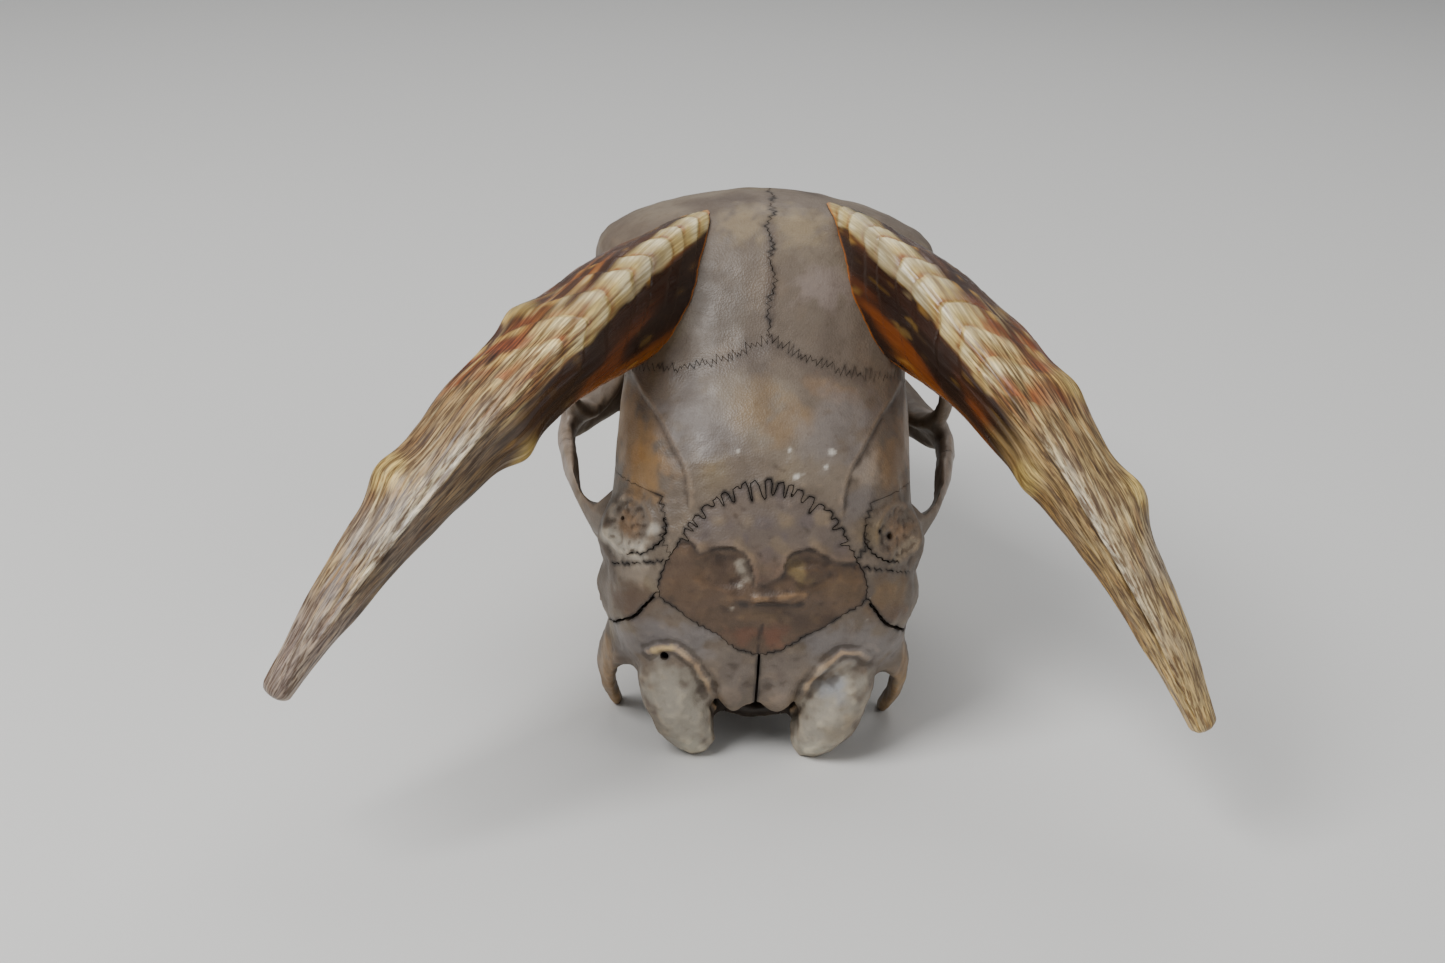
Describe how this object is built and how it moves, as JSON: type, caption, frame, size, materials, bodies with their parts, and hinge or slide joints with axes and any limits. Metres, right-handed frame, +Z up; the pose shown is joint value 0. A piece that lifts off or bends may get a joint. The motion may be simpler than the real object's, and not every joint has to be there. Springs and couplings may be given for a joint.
{
  "type": "goat skull",
  "caption": "Life-size skull of a young horned goat without its lower jaw: cranial and facial bones parted at their sutures, cheek teeth, and curved keeled horn sheaths.",
  "frame": {"origin": "bottom centre of the box round the skull, on the floor it rests on", "axes": "+Y towards the nose along the skull's length, +X to the animal's right, +Z up"},
  "size_m": [0.1716, 0.213, 0.1064],
  "materials": {
    "bone": "dry aged bone, matt with faint sheen",
    "brown_bone": "dry bone stained brown",
    "tooth": "tooth enamel, satin",
    "horn": "fibrous horn keratin, satin"
  },
  "bodies": {
    "root": {"supraoccipital": "brown_bone", "exoccipital_left": "bone", "exoccipital_right": "bone", "temporal_left": "bone", "temporal_right": "bone", "parietal": "bone", "zygomatic_left": "bone", "zygomatic_right": "bone", "lacrimal_left": "bone", "lacrimal_right": "bone", "nasal_left": "bone", "nasal_right": "bone", "premaxilla_left": "bone", "premaxilla_right": "bone", "frontal_left": "bone", "frontal_right": "bone", "maxilla_left": "bone", "maxilla_right": "bone", "skull_base": "bone", "horn_left": "horn", "horn_right": "horn"}
  },
  "joints": []
}
